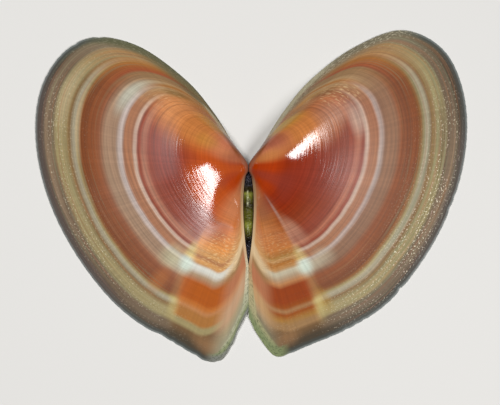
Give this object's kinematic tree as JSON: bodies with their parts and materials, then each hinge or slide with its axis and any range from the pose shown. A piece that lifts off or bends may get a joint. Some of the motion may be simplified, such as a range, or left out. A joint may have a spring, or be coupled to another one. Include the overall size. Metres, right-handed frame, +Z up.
{
  "type": "tellin shell",
  "caption": "Thin oval bivalve shell spread open flat like a butterfly, domed outsides up, the halves joined behind the beaks by a horny ligament.",
  "frame": {"origin": "middle of the spread pair, on the surface that it rests on", "axes": "+X across the hinge towards the right valve, +Y along the hinge towards the rounded front end, +Z up out of the domed outsides"},
  "size_m": [0.0498, 0.0383, 0.0046],
  "materials": {
    "left_shell": "glossy salmon and brick-red shell with cream growth bands, satin towards the edge",
    "right_shell": "glossy salmon and brick-red shell with cream growth bands, satin towards the edge",
    "ligament_horn": "glossy olive-brown horn, cross-wrinkled, dark at both ends"
  },
  "bodies": {
    "root": {"left_valve": "left_shell", "right_valve": "right_shell", "ligament": "ligament_horn"}
  },
  "joints": []
}
